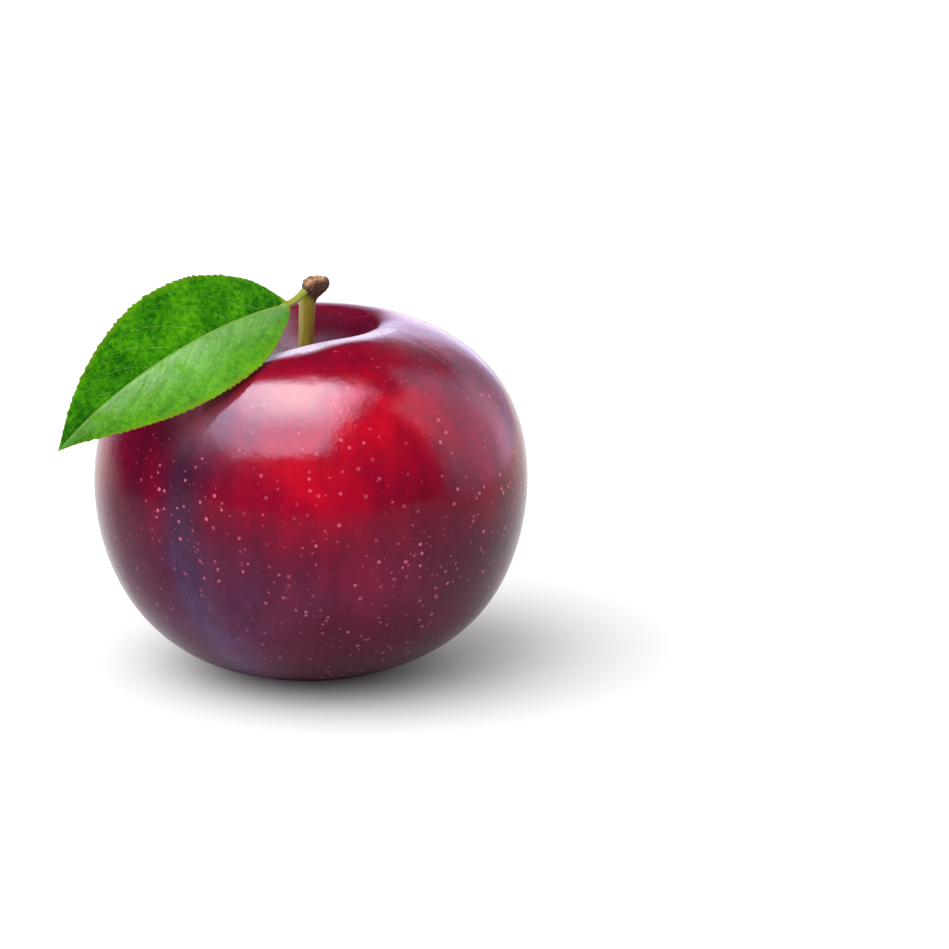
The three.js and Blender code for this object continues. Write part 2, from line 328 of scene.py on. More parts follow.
def resting_theta():
    above, below = math.pi / 2, math.pi
    for _ in range(40):
        middle = (above + below) / 2
        if fruit_points(np.array([middle]), np.array([math.pi]))[0, 2] > 0:
            above = middle
        else:
            below = middle
    return above


class Skin:
    """Where each point of the skin lies: a bearing in degrees, the rest in millimetres."""

    def __init__(self, rings):
        self.x, self.y, self.z = rings[..., 0], rings[..., 1], rings[..., 2]
        self.around = np.degrees(np.arctan2(self.x, -self.y))
        self.from_cavity = np.hypot(self.x - CAVITY_X, self.y)
        self.crown = smooth_ramp(self.z, 30.0, 40.0)
        self.cavity = bell(self.from_cavity, 8.5) * self.crown
        self.far_side = smooth_ramp(0.53 * self.x + 0.85 * self.y, -1.0, 4.0)
        self.front = soft_step(-self.y / 3.0)
        off_suture = self.x - suture_wander(self.z)
        self.suture = bell(off_suture, np.where(off_suture < 0, 2.6, 4.2))
        self.suture *= self.front * smooth_ramp(self.z, 46.0, 37.0)

    def patch(self, bearing, width, height, depth):
        """A soft-edged patch, 1 in its middle."""
        return bell(self.around - bearing, width) * bell(self.z - height, depth)


def skin_redness_and_shade(skin):
    """How much crimson the skin has: most where the sun reached it, nearly black low down, and
    darkened by painted shade near the floor, in the cavity, under the leaf and partly along the
    suture.
    """
    around, z = skin.around, skin.z
    upper = smooth_ramp(z, 22.0, 36.0)
    red_and_shade = DEEP_RED + UPPER_RED * upper
    suture_side_width = 16.5 + 8.0 * smooth_ramp(z, 37.0, 43.0)
    sunny_width = np.where(around > SUNNY_BEARING, SUNNY_WIDTH, suture_side_width)
    sunny_height = SUNNY_HEIGHT + 6.0 * smooth_ramp(around, 40.0, 75.0)
    sunny_depth = np.where(z > SUNNY_HEIGHT, 10.0, 9.0)
    red_and_shade += SUNNY_RED * skin.patch(SUNNY_BEARING, sunny_width, sunny_height, sunny_depth)
    for bearing, width, height, depth, strength in RED_PATCHES:
        red_and_shade += strength * skin.patch(bearing, width, height, depth)
    red_and_shade += BACK_RED * bell(np.abs(around) - 150.0, 34.0) * bell(z - 40.0, 12.0)
    # Painted shade of the leaf, left of the suture.
    red_and_shade -= PAINTED_LEAF_SHADE * upper * bell(around + 24.0, 14.0)
    # Darker along the suture: partly its own colour, partly painted shade in the furrow.
    red_and_shade *= 1 - SUTURE_DARKENING * skin.suture * smooth_ramp(z, 6.0, 20.0)
    # Painted shade near the floor: darker low all round, and up to a higher line on the lower
    # right.
    red_and_shade *= 1 - PAINTED_BASE_SHADE * smooth_ramp(z, 12.0, 2.0)
    red_and_shade *= 1 - PAINTED_BASE_SHADE * smooth_ramp(z, 16.0, 6.0) * smooth_ramp(around, 30.0, 50.0)
    # Painted shade on the far wall and rim of the stem cavity.
    red_and_shade *= 1 - PAINTED_CAVITY_SHADE * skin.far_side * bell(skin.from_cavity, 12.5) * skin.crown
    return np.clip(red_and_shade, 0.02, 0.9)


def skin_bloom_and_highlights(skin):
    """How thick the wax lies where nothing has rubbed it off, with painted highlights laid in as
    thick wax and less of it low down as painted shade.
    """
    around, z = skin.around, skin.z
    low_left = bell(around - 2.0, 32.0) * smooth_ramp(z, 30.0, 14.0)
    bloom_and_highlight = 0.04 * smooth_ramp(z, 34.0, 22.0) + 0.08 * low_left
    bloom_and_highlight += 0.055 * low_left * bell(around - 17.0, 14.0)
    bloom_and_highlight += 0.08 * skin.suture * smooth_ramp(z, -10.0, 20.0)
    # In the cavity: thick towards -X and thin on the far wall; on the lip, a thick pale band that
    # is a painted reflection of the backdrop.
    wall = skin.cavity * skin.far_side
    bloom_and_highlight += (0.85 * skin.cavity - 0.82 * wall) * smooth_ramp(skin.x, 4.0, -2.0)
    bloom_and_highlight += 0.10 * skin.cavity - 0.08 * wall + 0.30 * wall * smooth_ramp(z, 51.0, 48.5)
    # The lip's pale band is a painted reflection of the backdrop.
    lip_edge = LIP_RADIUS - 3.0 * smooth_ramp(around, 28.0, 62.0)
    lip_highlight = smooth_ramp(skin.from_cavity, 8.5, 11.5)
    lip_highlight *= smooth_ramp(skin.from_cavity, lip_edge + 0.8, lip_edge - 0.8)
    lip_highlight *= smooth_ramp(0.53 * skin.x - 0.85 * skin.y, 2.0, 6.0) * smooth_ramp(z, 38.0, 44.0)
    bloom_and_highlight += LIP_PAINTED_HIGHLIGHT * lip_highlight
    # Painted highlight beside the leaf and painted reflection on the right shoulder, laid in as
    # wax.
    for bearing, width, height, depth, strength in PAINTED_HIGHLIGHT_PATCHES:
        bloom_and_highlight += strength * skin.patch(bearing, width, height, depth)
    # Less bloom on the lower right and low at the front: painted shade near the floor.
    bloom_and_highlight -= 0.045 * smooth_ramp(z, 20.0, 8.0) * smooth_ramp(around, 15.0, 45.0)
    bloom_and_highlight -= 0.050 * smooth_ramp(z, 11.0, 3.0) * skin.front
    return np.clip(bloom_and_highlight, 0.0, 1.0)


def skin_shine(skin):
    """How strongly the skin reflects: polished above, duller on the belly and in the cavity; the
    belly's dullness is partly painted shade, for the shaded floor it reflects, and the cut under
    the leaf is painted shade of the leaf.
    """
    around, z = skin.around, skin.z
    belly = np.interp(around, SHINE_BEARINGS, BELLY_SHINE)
    belly = belly + (LOW_SHINE - belly) * smooth_ramp(z, 20.0, 10.0)
    belly = belly * smooth_ramp(z, 2.5, 10.0)
    # Under the leaf the polish starts higher up: painted shade of the leaf in the reflection.
    under_leaf = smooth_ramp(around, 2.0, -10.0)
    polished = smooth_ramp(z, 31.0 + 7.0 * under_leaf, 39.0 + 11.0 * under_leaf)
    shine = belly + (1 - belly) * polished
    # Left of the suture, under the leaf, the reflection is cut back up to a slanting edge: painted
    # shade of the leaf.
    slant = np.maximum(z - 43.0, -3.0)
    shaded = smooth_ramp(around, -27.0, -21.0) * smooth_ramp(around, slant + 2.0, slant - 2.0)
    shine *= 1 - 0.85 * shaded * smooth_ramp(z, 30.0, 33.0) * smooth_ramp(z, 50.0, 47.0)
    right_rim = smooth_ramp(around, 98.0, 112.0) * smooth_ramp(around, 150.0, 130.0)
    shine *= 1 - 0.30 * right_rim * smooth_ramp(z, 45.0, 49.0)
    far_rim = smooth_ramp(skin.y, 3.0, 8.0) * (0.35 + 0.60 * smooth_ramp(skin.x, 14.0, 5.0))
    dull = 1 - smooth_ramp(skin.from_cavity, 10.2, 13.4) * (1 - far_rim)
    return shine * (1 - dull * smooth_ramp(z, 38.0, 44.0))


def make_fruit():
    lowest = resting_theta()
    turn = 2 * math.pi * np.arange(FRUIT_SECTORS) / FRUIT_SECTORS
    phi = turn - 0.55 * np.sin(turn)
    theta = lowest * (np.arange(1, FRUIT_RINGS + 1) / FRUIT_RINGS) ** 1.25
    rings = fruit_points(theta[:, None], phi[None, :])
    rings[-1, :, 2] = 0.0
    rings[..., 2] = np.maximum(rings[..., 2], 0.0)
    pole = fruit_points(np.array([1e-4]), np.array([0.0]))[0]
    foot = rings[-1].mean(axis=0)
    points, faces = skin_over_rings(rings, pole, foot)
    skin = Skin(rings)
    looks = {"red_and_shade": skin_redness_and_shade(skin), "bloom_and_highlight": skin_bloom_and_highlights(skin), "shine": skin_shine(skin)}
    fields = {name: field_over_rings(values, values[0].mean(), values[-1].mean())
              for name, values in looks.items()}
    return build_mesh("plum_skin", points, faces, fields)


# ---------------------------------------------------------------- stalk and stub

def ring_stack(centres, radii, sides):
    """Rings around +Z: centres is (rings, 3), radii is (rings, sides)."""
    turn = 2 * math.pi * np.arange(sides) / sides
    rings = np.repeat(centres[:, None, :], sides, axis=1)
    rings[..., 0] += radii * np.cos(turn)
    rings[..., 1] += radii * np.sin(turn)
    return rings


def make_stalk():
    low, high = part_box("stalk")
    bottom_z, top_z = low[2] / MM, high[2] / MM
    sides, count = 72, 150
    down = np.linspace(0.0, 1.0, count)[:, None]
    turn = 2 * math.pi * np.arange(sides) / sides
    top, bottom = np.array([*STALK_TOP, top_z]), np.array([*STALK_BOTTOM, bottom_z])
    centres = top * (1 - down) + bottom * down
    radius = (STALK_RADIUS + STALK_TOP_FLARE * bell(down, 0.5)
              + STALK_FOOT_FLARE * bell(1 - down, 0.1))
    ribs = 0.018 * np.sin(STALK_RIBS * turn + 1.8 * down + 0.8 * np.sin(2 * turn))
    rings_round = 0.014 * np.sin(46 * down + 1.3 * np.sin(3 * turn)) * bell(1 - down, 0.5)
    knot = 0.05 * bell(down - 0.62, 0.035) * np.cos(turn - 5.4).clip(0)
    end_rounding = 1 - 0.12 * bell(1 - down, 0.012)
    rings = ring_stack(centres, radius * (1 + ribs + rings_round + knot) * end_rounding, sides)
    points, faces = skin_over_rings(rings, centres[0], centres[-1])
    height = field_over_rings(np.repeat(1 - down, sides, axis=1), 1.0, 0.0)
    return build_mesh("stalk_body", points, faces, {"height": height})


def make_woody_stub():
    low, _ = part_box("woody_tip")
    foot_z = low[2] / MM - STUB_SINK
    top_z = foot_z + STUB_SINK + STUB_HEIGHT
    sides, count, top_count = 96, 80, 22
    turn = 2 * math.pi * np.arange(sides) / sides
    up = np.linspace(1.0, 0.0, count)[:, None]
    widening = smooth_ramp(up, 0.0, 0.75)
    lean = np.array([[STUB_LEAN[0], STUB_LEAN[1], 0.0]]) * widening
    centres = np.array([*STALK_TOP, foot_z]) + lean
    centres[:, 2] += (top_z - foot_z) * up[:, 0]
    radius = STUB_FOOT_RADIUS + (STUB_RADIUS - STUB_FOOT_RADIUS) * widening
    lumps = STUB_LUMP * widening * (np.sin(3 * turn + 0.6) + 0.5 * np.sin(5 * turn + 2.0))
    bark = 0.035 * np.sin(14 * turn + 3 * np.sin(5 * up)) + 0.02 * np.sin(31 * turn - 9 * up)
    flakes = 0.02 * np.sin(38 * up + 2.5 * np.sin(4 * turn)) * widening
    rim_rounding = 1 - 0.12 * bell(1 - up, 0.06)
    side_radii = radius * (1 + lumps + bark + flakes) * rim_rounding
    side = ring_stack(centres, side_radii, sides)
    cut_rise = (STUB_CUT_TILT * np.cos(turn - STUB_CUT_BEARING)
                - STUB_CHIP_DEPTH * bell(turn - STUB_CHIP_BEARING, STUB_CHIP_HALF_WIDTH)
                + 0.07 * np.sin(7 * turn + 1.0) + 0.05 * np.sin(13 * turn))
    side[..., 2] += cut_rise * up ** 3 * (side_radii / STUB_RADIUS)
    # The cut face closes in on its own centre, with splintered fibres and a raised rim.
    shrink = np.linspace(0.02, 0.97, top_count)[:, None]
    middle = np.array([centres[0, 0], centres[0, 1], top_z])
    face = middle + (side[0] - middle) * shrink[..., None]
    splinters = (0.07 * np.sin(17 * turn + 5 * shrink) * np.sin(9 * shrink)
                 + 0.09 * np.sin(5 * turn + 4 * shrink) * np.sin(6 * shrink))
    face[..., 2] += splinters * shrink - 0.16 * (1 - shrink ** 3)
    rings = np.concatenate([face, side])
    points, faces = skin_over_rings(rings, face[0].mean(axis=0), [*STALK_TOP, foot_z])
    up_side = np.repeat(up, sides, 1)
    cut = np.concatenate([np.ones((top_count, sides)), smooth_ramp(up_side, 0.93, 1.0)])
    return build_mesh("woody_stub", points, faces, {"cut": field_over_rings(cut, 1.0, 0.0)})


# ---------------------------------------------------------------- leaf

def along(angle, t):
    return np.radians(angle[0] + angle[1] * t + angle[2] * t * t)


def midrib_direction(t):
    heading, climb = along(HEADING, t), along(CLIMB, t)
    return np.stack([np.cos(climb) * np.cos(heading),
                     np.cos(climb) * np.sin(heading), np.sin(climb)], axis=-1)


def midrib_points(t):
    steps = 400
    middles = (np.arange(steps) + 0.5) / steps
    path = np.cumsum(midrib_direction(middles) * LEAF_LENGTH / steps, axis=0)
    path = np.concatenate([[[0.0, 0.0, 0.0]], path]) + np.array(BLADE_BASE)
    stations = np.linspace(0.0, 1.0, steps + 1)
    return np.stack([np.interp(t, stations, path[:, axis]) for axis in range(3)], axis=-1)


def blade_half_width(t):
    tip_taper = BASE_ROUNDNESS * (1 - WIDEST_AT) / WIDEST_AT
    return BLADE_HALF_WIDTH * (t / WIDEST_AT) ** BASE_ROUNDNESS * (
        (1 - t) / (1 - WIDEST_AT)) ** tip_taper


def petiole_curve(share):
    start, end = np.array(PETIOLE_START), np.array(BLADE_BASE)
    first = start + np.array(PETIOLE_START_DIRECTION) * PETIOLE_REACH
    second = end - midrib_direction(np.array(0.0)) * PETIOLE_REACH
    s = share[:, None]
    place = ((1 - s) ** 3 * start + 3 * s * (1 - s) ** 2 * first
             + 3 * s * s * (1 - s) * second + s ** 3 * end)
    tangent = (3 * (1 - s) ** 2 * (first - start) + 6 * s * (1 - s) * (second - first)
               + 3 * s * s * (end - second))
    return place, unit(tangent)


def leaf_rings(centre, direction, roll, half_width, t, share):
    """Rings of the leaf, upper face then lower face, and the fields that its colour follows.

    half_width is (rings, 1) or (rings, columns); share runs from -1 to 1 across the blade.
    """
    level = unit(np.stack([-direction[:, 1], direction[:, 0], 0 * direction[:, 0]], axis=-1))
    lifted = np.cross(direction, level)
    left = np.cos(roll)[:, None] * level + np.sin(roll)[:, None] * lifted
    up = np.cross(direction, left)
    out = np.abs(share)[None, :]
    t = t[:, None]
    right_half = share[None, :] < 0
    curl = np.where(right_half, RIGHT_CURL + BASE_CURL * bell(t, BASE_CURL_REACH), LEFT_CURL)
    half_turn = np.radians(curl * out) / 2
    rise = math.radians(FOLD) + half_turn
    reach = half_width * out * (1 - half_turn ** 2 / 6)
    side = np.sign(share)[None, :] * reach * np.cos(rise)

    blade = smooth_ramp(t, 0.0, 0.04)
    phase = VEIN_PAIRS * (t - VEIN_SWEEP * out ** 1.2) + 0.5 * right_half
    off_vein = np.abs(phase - np.round(phase))
    vein_distance = off_vein * LEAF_LENGTH / VEIN_PAIRS * 0.72
    vein_width = 0.17 * (1 - 0.55 * out)
    side_vein = bell(vein_distance, vein_width) * blade * smooth_ramp(out, 1.0, 0.8)
    midrib = bell(reach, MIDRIB_HALF_WIDTH * (1 - 0.5 * t))
    quilt = QUILTING * (np.sin(math.pi * off_vein) - 0.4)
    quilt = quilt * np.sin(math.pi * out) * np.minimum(1, half_width / 5) * blade
    ripple = 0.10 * np.sin(30 * t + 1.5 * np.sign(share)[None, :]) * out ** 3 * blade

    middle = (centre[:, None, :] + left[:, None, :] * side[..., None]
              + up[:, None, :] * (reach * np.sin(rise) + quilt + ripple)[..., None])
    thickness = BLADE_THICKNESS + (MARGIN_THICKNESS - BLADE_THICKNESS) * out ** 2 * blade
    thickness = thickness * (1 - 0.6 * smooth_ramp(out, 0.985, 1.0))
    petiole = (1 - blade) * 0.42 * half_width * (1 - out ** 2)
    groove = 0.12 * bell(reach, 0.22) * blade
    top = thickness / 2 + petiole - groove - VEIN_DEPTH * side_vein * (1 - midrib)
    ridge = MIDRIB_DEPTH * (1 - 0.75 * t) * midrib + 0.12 * side_vein
    upper = middle + up[:, None, :] * top[..., None]
    lower = middle - up[:, None, :] * (thickness / 2 + ridge)[..., None]
    rings = np.concatenate([upper, lower[:, ::-1]], axis=1)

    def both(values):
        values = values + 0 * rings[:, :len(share), 0]
        return np.concatenate([values, values[:, ::-1]], axis=1)

    underside = np.concatenate([0 * side, 0 * side + 1], axis=1) + 0 * rings[..., 0]
    fields = {
        "leaf_t": both(t + 0 * out),
        "out": both(out + 0 * t),
        "blade": both(blade + 0 * out),
        "reach": both(reach),
        "underside": underside,
        "near_half": both(1.0 * (share[None, :] > 0)),
    }
    return rings, fields


def teeth_along(t, offset, seed):
    """How far the margin's teeth stand out: forward-pointing, and no two quite alike."""
    run = t * TEETH + offset + 0.35 * np.sin(23 * t + seed) + 0.2 * np.sin(61 * t)
    pitch_share = run % 1.0
    saw = np.where(pitch_share < TOOTH_PEAK, pitch_share / TOOTH_PEAK,
                   (1 - pitch_share) / (1 - TOOTH_PEAK))
    size = np.random.default_rng(seed).uniform(0.35, 1.25, TEETH + 4)
    return TOOTH_DEPTH * saw * size[np.floor(run).astype(int) + 1]


def make_leaf():
    half = (LEAF_COLUMNS - 1) // 2
    steps = np.arange(half + 1) / half
    positive = 0.55 * steps + 0.45 * steps ** 2
    positive[-2] = 0.985
    share = np.concatenate([-positive[:0:-1], positive])

    petiole_share = np.linspace(0.0, 1.0, PETIOLE_RINGS, endpoint=False)
    place, tangent = petiole_curve(petiole_share)
    swelling = 0.92 + 0.30 * bell(petiole_share, 0.3)
    petiole = leaf_rings(place, tangent, math.radians(ROLL[0]) * petiole_share,
                         (PETIOLE_HALF_WIDTH * swelling)[:, None], 0 * petiole_share, share)

    t = 0.001 + 0.993 * np.arange(LEAF_RINGS) / (LEAF_RINGS - 1)
    width = blade_half_width(t)
    petiole_width = PETIOLE_HALF_WIDTH * np.maximum(0, 1 - 4 * t)
    right_teeth, left_teeth = teeth_along(t, 0.0, 5)[:, None], teeth_along(t, 0.4, 8)[:, None]
    teeth = np.where(share[None, :] < 0, right_teeth, left_teeth)
    teeth = teeth * np.minimum(1, width / 4)[:, None]
    base_taper = 1 - BASE_TAPER * bell(t - 0.09, 0.09)[:, None] * (share[None, :] > 0)
    half_width = np.hypot(width, petiole_width)[:, None] * base_taper + teeth
    blade = leaf_rings(midrib_points(t), midrib_direction(t), along(ROLL, t), half_width, t, share)

    rings = np.concatenate([petiole[0], blade[0]])
    tip = midrib_points(np.array([1.0]))[0]
    points, faces = skin_over_rings(rings, place[0], tip)
    fields = {}
    for name in petiole[1]:
        values = np.concatenate([petiole[1][name], blade[1][name]])
        fields[name] = field_over_rings(values, values[0].mean(), values[-1].mean())
    return build_mesh("leaf_blade", points, faces, fields)


# ---------------------------------------------------------------- materials

class NodeDesk:
    """Short ways to add the nodes that drive a material or the studio's light."""

    def __init__(self, tree):
        self.nodes = tree.nodes
        self.links = tree.links
        self.coordinates = self.nodes.new("ShaderNodeTexCoord").outputs

    def put(self, socket, value):
        if isinstance(value, bpy.types.NodeSocket):
            self.links.new(value, socket)
        elif isinstance(value, tuple) and len(value) < len(socket.default_value):
            socket.default_value = (*value, 1.0)
        else:
            socket.default_value = value

    def field(self, name):
        node = self.nodes.new("ShaderNodeAttribute")
        node.attribute_name = name
        return node.outputs["Fac"]

    def math(self, operation, *values, clamp=False):
        node = self.nodes.new("ShaderNodeMath")
        node.operation = operation
        node.use_clamp = clamp
        for socket, value in zip(node.inputs, values):
            self.put(socket, value)
        return node.outputs[0]

    def fold(self, operation, values, clamp=False):
        """The operation run along the values; clamp holds every step between 0 and 1."""
        total = values[0]
        for value in values[1:]:
            total = self.math(operation, total, value, clamp=clamp)
        return total

    def times(self, *values, clamp=False):
        return self.fold("MULTIPLY", values, clamp)

    def plus(self, *values):
        return self.fold("ADD", values)

    def minus(self, first, second):
        return self.math("SUBTRACT", first, second)

    def remap(self, value, low, high, to_low=0.0, to_high=1.0):
        """A smooth step from low to high, as a value from to_low to to_high."""
        node = self.nodes.new("ShaderNodeMapRange")
        node.interpolation_type = "SMOOTHSTEP"
        for socket, number in zip(node.inputs, (value, low, high, to_low, to_high)):
            self.put(socket, number)
        return node.outputs[0]

    def remap_mm(self, value, low, high, to_low=0.0, to_high=1.0):
        """remap() of a length, with low and high in millimetres."""
        return self.remap(value, low * MM, high * MM, to_low, to_high)

    def stretched(self, vector, scale):
        node = self.nodes.new("ShaderNodeVectorMath")
        node.operation = "MULTIPLY"
        self.put(node.inputs[0], vector)
        node.inputs[1].default_value = scale
        return node.outputs[0]

    def combine(self, x, y, z):
        node = self.nodes.new("ShaderNodeCombineXYZ")
        for socket, value in zip(node.inputs, (x, y, z)):
            self.put(socket, value)
        return node.outputs[0]

    def parts(self, vector):
        node = self.nodes.new("ShaderNodeSeparateXYZ")
        self.put(node.inputs[0], vector)
        return node.outputs

    def dot(self, vector, direction):
        node = self.nodes.new("ShaderNodeVectorMath")
        node.operation = "DOT_PRODUCT"
        self.put(node.inputs[0], vector)
        node.inputs[1].default_value = direction
        return node.outputs["Value"]

    def noise(self, vector, size_mm, detail=3.0, roughness=0.55):
        node = self.nodes.new("ShaderNodeTexNoise")
        self.put(node.inputs["Vector"], vector)
        node.inputs["Scale"].default_value = 1 / (size_mm * MM)
        node.inputs["Detail"].default_value = detail
        node.inputs["Roughness"].default_value = roughness
        return node.outputs["Fac"]

    def cells(self, vector, size_mm, feature="F1"):
        node = self.nodes.new("ShaderNodeTexVoronoi")
        node.feature = feature
        self.put(node.inputs["Vector"], vector)
        node.inputs["Scale"].default_value = 1 / (size_mm * MM)
        return node

    def mix(self, share, first, second):
        node = self.nodes.new("ShaderNodeMix")
        node.data_type = "RGBA"
        self.put(node.inputs[0], share)
        self.put(node.inputs[6], first)
        self.put(node.inputs[7], second)
        return node.outputs[2]

    def between(self, share, first, second):
        return self.plus(self.times(first, self.minus(1.0, share)), self.times(second, share))

    def ramp(self, value, *stops):
        node = self.nodes.new("ShaderNodeValToRGB")
        band = node.color_ramp
        for index, (position, colour) in enumerate(stops):
            stop = band.elements[index] if index < 2 else band.elements.new(position)
            stop.position = position
            stop.color = (*colour, 1.0)
        self.put(node.inputs[0], value)
        return node.outputs[0]

    def bump(self, height, distance_mm, strength=1.0, normal=None):
        node = self.nodes.new("ShaderNodeBump")
        node.inputs["Strength"].default_value = strength
        node.inputs["Distance"].default_value = distance_mm * MM
        self.put(node.inputs["Height"], height)
        if normal is not None:
            self.put(node.inputs["Normal"], normal)
        return node.outputs[0]


class Surface(NodeDesk):
    """A Principled material."""

    def __init__(self, name):
        self.material = bpy.data.materials.new(name)
        self.material.use_nodes = True
        super().__init__(self.material.node_tree)
        self.shader = self.nodes["Principled BSDF"]
        self.object_coordinates = self.coordinates["Object"]

    def finish(self, **sockets):
        for name, value in sockets.items():
            self.put(self.shader.inputs[name.replace("_", " ")], value)
        return self.material


def lenticels(s, place, spacing_mm, channel, fewest, sizes, softness):
    """Round specks of random size, at most one in each cell: 1 within a speck.

    channel picks the random number, fewest is how low it starts to make specks, and sizes are
    the smallest and largest radius as shares of the spacing.
    """
    cells = s.cells(place, spacing_mm)
    random = s.parts(cells.outputs["Color"])[channel]
    radius = s.remap(random, fewest, 1.0, *sizes)
    return s.remap(s.minus(radius, cells.outputs["Distance"]), 0.0, softness)


def fruit_skin_material():
    s = Surface("plum_skin_waxy")
    place = s.object_coordinates
    x, _, z = s.parts(place)
    bloom_and_highlight = s.field("bloom_and_highlight")

    # Red runs in soft patches and in streaks that follow the meridians.
    patches = s.noise(place, 15.0, detail=3.0, roughness=0.6)
    streaks = s.noise(s.stretched(place, (1.0, 1.0, 0.14)), 4.2, detail=2.5, roughness=0.55)
    mottle = s.noise(place, 2.6, detail=4.0, roughness=0.65)
    vary = s.plus(s.remap(patches, 0.25, 0.75, 0.72, 1.26),
                  s.remap(streaks, 0.30, 0.70, -0.17, 0.20),
                  s.remap(mottle, 0.25, 0.75, -0.10, 0.10))
    # The field holds the skin's own crimson with painted shade in it.
    colour = s.ramp(s.times(s.field("red_and_shade"), vary), *SKIN_BY_RED)

    # Wax bloom: a thin bluish film, rubbed away in patches; the same field carries the painted
    # highlights and the painted shade laid in with it.
    rubbed = s.remap(s.noise(place, 8.0, detail=5.0, roughness=0.62), 0.30, 0.70, 0.55, 1.25)
    fine_film = s.remap(s.noise(place, 0.6, detail=3.0), 0.3, 0.7, 0.85, 1.15)
    film_and_highlight = s.times(s.times(bloom_and_highlight, rubbed), fine_film, clamp=True)
    film_colour = s.mix(s.remap_mm(z, 36, 44), BELLY_BLOOM, CROWN_BLOOM_AND_HIGHLIGHT)
    film_colour = s.mix(s.remap(film_and_highlight, 0.55, 1.0), film_colour, THICK_BLOOM_AND_HIGHLIGHT)
    colour = s.mix(film_and_highlight, colour, film_colour)

    # Lenticels: pale specks, larger over the belly, finer towards the base, fewer on the crown,
    # and drowned where the bloom is thick.
    large = lenticels(s, place, 1.25, 0, 0.10, (0.10, 0.31), 0.17)
    small = lenticels(s, place, 1.0, 1, 0.20, (0.03, 0.25), 0.14)
    dots = s.math("MAXIMUM", large, s.times(small, s.remap_mm(z, 40, 12, 0.10, 0.95)))
    faint = s.times(s.remap(s.noise(place, 6.0, detail=1.0), 0.35, 0.60, 0.25, 0.95),
                    s.remap(bloom_and_highlight, 0.30, 0.06),
                    s.remap_mm(z, 50, 41, 0.35, 1.0),
                    s.remap_mm(x, -10, -1, 0.55, 1.0))
    dots = s.times(dots, faint, clamp=True)
    colour = s.mix(dots, colour, s.mix(s.remap_mm(z, 6, 30), LOW_LENTICEL, HIGH_LENTICEL))

    roughness = s.plus(s.times(film_and_highlight, 0.40), s.remap_mm(z, 36, 28, 0.12, 0.17),
                       s.times(mottle, 0.05))
    sheen = s.times(s.remap_mm(z, 34, 25, 0.01, 0.06), s.remap_mm(z, 1, 10, 0.1, 1.0))
    pores = s.noise(place, 0.35, detail=2.0)
    relief = s.bump(s.plus(s.times(dots, 0.6), pores), 0.02, 0.22)
    relief = s.bump(s.noise(place, 3.2, detail=3.0), 0.25, 0.30, relief)
    relief = s.bump(s.noise(place, 5.5, detail=2.0), 0.30, 0.12, relief)
    return s.finish(Base_Color=colour, Roughness=roughness, Normal=relief, IOR=1.38,
                    Specular_IOR_Level=s.times(s.field("shine"), 0.5),
                    Sheen_Weight=sheen, Sheen_Roughness=0.35, Sheen_Tint=WAX_SHEEN)


def stalk_material():
    s = Surface("stalk_green_wood")
    place = s.object_coordinates
    fibres = s.noise(s.stretched(place, (1.0, 1.0, 0.10)), 0.35, detail=4.0, roughness=0.6)
    patches = s.noise(s.stretched(place, (1.0, 1.0, 0.45)), 1.8, detail=3.0)
    colour = s.ramp(fibres, *STALK_FIBRES)
    # Olive in the middle, with a painted highlight on the side away from the fuller cheek and
    # painted shade, browner, on the other; brown patches all round.
    lean = s.remap(s.field("height"), 0.0, 1.0, -0.1 * MM, 0.5 * MM)
    aside = s.minus(s.dot(place, CHEEK_SIDE), lean)
    colour = s.mix(s.times(s.remap_mm(aside, -0.2, -1.0), 0.75), colour, STALK_PAINTED_HIGHLIGHT)
    brown_and_shade = s.plus(s.remap(patches, 0.45, 0.75, 0.0, 0.45), s.remap_mm(aside, 0.1, 1.1, 0.0, 0.60))
    colour = s.mix(brown_and_shade, colour, STALK_BROWN_AND_SHADE)
    specks = s.remap(s.cells(place, 0.7).outputs["Distance"], 0.16, 0.06)
    colour = s.mix(s.times(specks, 0.25), colour, STALK_SPECK)
    relief = s.bump(fibres, 0.04, 0.35)
    return s.finish(Base_Color=colour, Roughness=0.50, Normal=relief)


def woody_stub_material():
    s = Surface("spur_bark_and_cut_wood")
    place = s.object_coordinates
    _, _, z = s.parts(place)
    bark_noise = s.noise(s.stretched(place, (1.0, 1.0, 0.5)), 0.55, detail=5.0, roughness=0.65)
    # The stalk's green runs up into the bark, higher on the petiole's side.
    aside = s.dot(place, CHEEK_SIDE)
    green_top = s.plus(z, s.times(aside, 0.9), s.times(bark_noise, 1.6 * MM))
    young = s.remap_mm(green_top, 59.3, 57.9)
    # As on the stalk: painted shade on the side towards the fuller cheek, and a painted highlight
    # low on the other side.
    olive = s.mix(s.remap_mm(aside, 0.6, 1.8), YOUNG_BARK, YOUNG_BARK_PAINTED_SHADE)
    painted_highlight = s.times(s.remap_mm(aside, 0.0, -0.6), s.remap_mm(z, 57.4, 56.6))
    olive = s.mix(s.times(painted_highlight, 0.8), olive, YOUNG_BARK_PAINTED_HIGHLIGHT)
    bark = s.mix(young, s.ramp(bark_noise, *BARK), olive)
    grain = s.noise(place, 0.30, detail=5.0, roughness=0.7)
    blotch = s.noise(place, 0.9, detail=3.0, roughness=0.6)
    wood = s.ramp(s.plus(s.times(grain, 0.5), s.times(blotch, 0.5)), *CUT_WOOD)
    # The rim of the cut has weathered back to bark on the suture's side.
    sound = s.minus(1.0, s.remap_mm(s.dot(place, FACE_SIDE), 0.2, 1.4, 0.0, 0.75))
    colour = s.mix(s.times(s.field("cut"), sound), bark, wood)
    relief = s.bump(bark_noise, 0.12, 0.7)
    relief = s.bump(grain, 0.08, 0.8, relief)
    return s.finish(Base_Color=colour, Roughness=0.82, Normal=relief)


